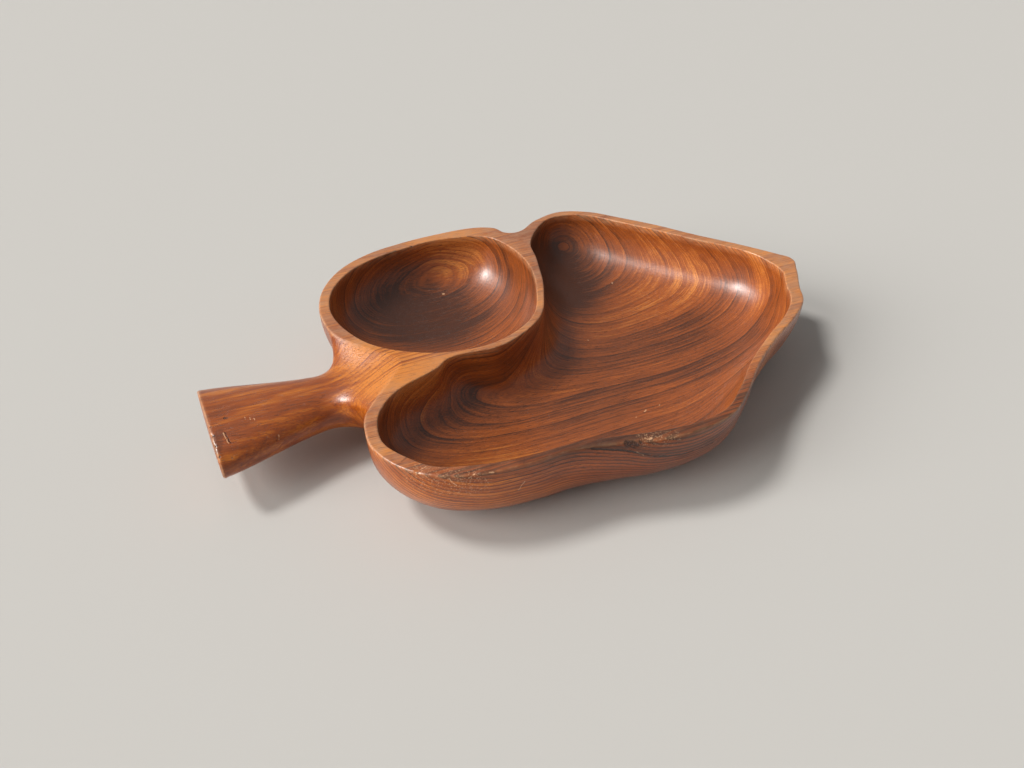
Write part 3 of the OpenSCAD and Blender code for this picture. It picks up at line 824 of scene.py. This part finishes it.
def paint_masks(mesh, centred, groups):
    """Numbers at the mesh's points: flat rim, worn and highlit edges, stem, outer wall, and the wood's tone
    with painted shade and light.
    """
    normals = point_normals(mesh)
    up = normals[:, 2]
    x, y, z = centred.T
    hollow = (groups == HOLLOW_GROUP) * np.clip((RIM_HEIGHT - z) / 4, 0, 1)
    # the rim's bare finish fades out in the crotch, which is polished by the hand, and to the front
    flat = np.clip((z - RIM_HEIGHT + 1.3) / 1.1, 0, 1) * np.clip((up - 0.75) / 0.2, 0, 1)
    beside_crotch = np.hypot(x - CROTCH_MIDDLE[0], y - CROTCH_MIDDLE[1])
    flat *= np.clip((beside_crotch - BARE_FADE[0]) / (BARE_FADE[1] - BARE_FADE[0]), 0, 1)
    back = np.clip(0.2 + (y + 118) / 45, 0.2, 1)
    flat *= back
    # the rounded edges are painted pale: rubbed wood, and a painted highlight along their rounding
    edge = np.clip((z - RIM_HEIGHT + 1.4) / 0.9, 0, 1) * np.clip((0.97 - up) / 0.2, 0, 1)
    edge *= (groups != OTHER_GROUP) * (0.4 + 0.6 * back)
    stem = (1 - hollow) * smooth_step(x, *STEM_START) * smooth_step(np.abs(y - STEM_Y), *STEM_SIDES)
    # the stem's cut end is painted pale along its edge, as wear and as painted highlight
    cut = x + (y - STEM_Y) * math.tan(math.radians(END_CUT_ANGLE))
    tip = cut.min()
    end = smooth_step(cut, tip + 2.2, tip + 1.2) * np.clip((normals[:, 0] + 0.97) / 0.25, 0, 1)
    edge = np.maximum(edge, 0.9 * end)
    from_crotch = np.linalg.norm(centred - CROTCH_MIDDLE, axis=1)
    wall = np.clip(1 - hollow - stem - flat, 0, 1) * (0.3 + 0.7 * smooth_step(from_crotch, *LAYER_FADE))
    # hollows are darker: painted shade in the recess, and wood darkened by use; the front rim is darker
    # towards the front
    tone_and_painted_light = HOLLOW_SHADE * hollow + STEM_SHADE * stem + WALL_SHADE * wall
    tone_and_painted_light += FRONT_SHADE * smooth_step(y, *FRONT_START) * np.clip((z - RIM_HEIGHT) / 4 + 1, 0, 1)
    # painted shade and painted light, fading out from each place
    for centre, reach, darker in PAINTED_SHADE_AND_LIGHT:
        tone_and_painted_light += darker * smooth_step(np.linalg.norm(centred - centre, axis=1), reach, reach * 0.3)
    masks = {"tone_and_painted_light": tone_and_painted_light, "stem": stem, "wall": wall, "flat": flat, "edge": edge}
    for name, values in masks.items():
        attribute = mesh.attributes.new(name, "FLOAT", "POINT")
        attribute.data.foreach_set("value", values.astype(np.float32))


def make_camera():
    """The camera that took the photograph."""
    data = bpy.data.cameras.new("camera")
    data.sensor_width = SENSOR_WIDTH
    data.lens = CAMERA_FOCAL / PHOTO_WIDTH * data.sensor_width
    data.clip_start = 0.01
    data.clip_end = 50
    camera = bpy.data.objects.new("camera", data)
    camera.location = CAMERA_PLACE
    camera.rotation_euler = Euler((math.radians(90 - CAMERA_PITCH), 0, -math.radians(CAMERA_YAW)))
    bpy.context.collection.objects.link(camera)
    bpy.context.scene.camera = camera


def soft_light(name, azimuth, elevation, spread, strength):
    """A distant soft lamp with its spread in degrees.

    Azimuth 0 is to the camera's right, and 90 straight behind the dish.
    """
    data = bpy.data.lights.new(name, "SUN")
    data.angle = math.radians(spread)
    data.energy = strength
    data.color = LAMP_COLOUR
    lamp = bpy.data.objects.new(name, data)
    angle = math.radians(azimuth - CAMERA_YAW)
    up = math.radians(elevation)
    direction = Vector((math.cos(angle) * math.cos(up), math.sin(angle) * math.cos(up), math.sin(up)))
    lamp.rotation_euler = direction.to_track_quat("Z", "Y").to_euler()
    bpy.context.collection.objects.link(lamp)
    return lamp


# Camera: the photograph's view, with its focal length in pixels and its angles in degrees
PHOTO_WIDTH = 1024
SENSOR_WIDTH = 36.0
CAMERA_FOCAL = 769.0
CAMERA_PLACE = (-0.1715, -0.3707, 0.3103)
CAMERA_PITCH = 37.5
CAMERA_YAW = 23.17
# Colours of the lamps and of the light from all round, and the floor's size in metres
LAMP_COLOUR = (1.0, 0.98, 0.95)
ROUND_LIGHT_COLOUR = (1.0, 0.99, 0.97, 1.0)
FLOOR_SIZE = 12

make_camera()

points, groups, faces = build_dish()
# the middle of the dish's length and width goes over the origin
middle = (points.min(axis=0) + points.max(axis=0)) / 2 * (1, 1, 0)
mesh = bpy.data.meshes.new("leaf_dish")
centred = points - middle
mesh.from_pydata((centred * MM).tolist(), [], faces)
chipped = chip(mesh, centred)
paint_masks(mesh, chipped, groups)
mesh.shade_smooth()
mesh.materials.append(wood_material())
dish = bpy.data.objects.new("leaf_dish", mesh)
bpy.context.collection.objects.link(dish)
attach(dish, "root")
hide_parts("dish")

bpy.ops.mesh.primitive_plane_add(size=FLOOR_SIZE)
floor = bpy.context.object
floor.name = "floor"
floor.data.materials.append(floor_material())

# a window, its shine on the oiled wood, and a broad light from the side that lights the hollows' walls
soft_light("window", azimuth=175, elevation=57, spread=14, strength=1.68)
shine = soft_light("shine", azimuth=174, elevation=56, spread=24, strength=2.1)
shine.visible_diffuse = False
side = soft_light("side", azimuth=204, elevation=26, spread=42, strength=2.6)
side.visible_glossy = False
studio_world(light=0.21, background=0.34)
bpy.context.scene.view_settings.view_transform = "Standard"

bpy.context.view_layer.update()
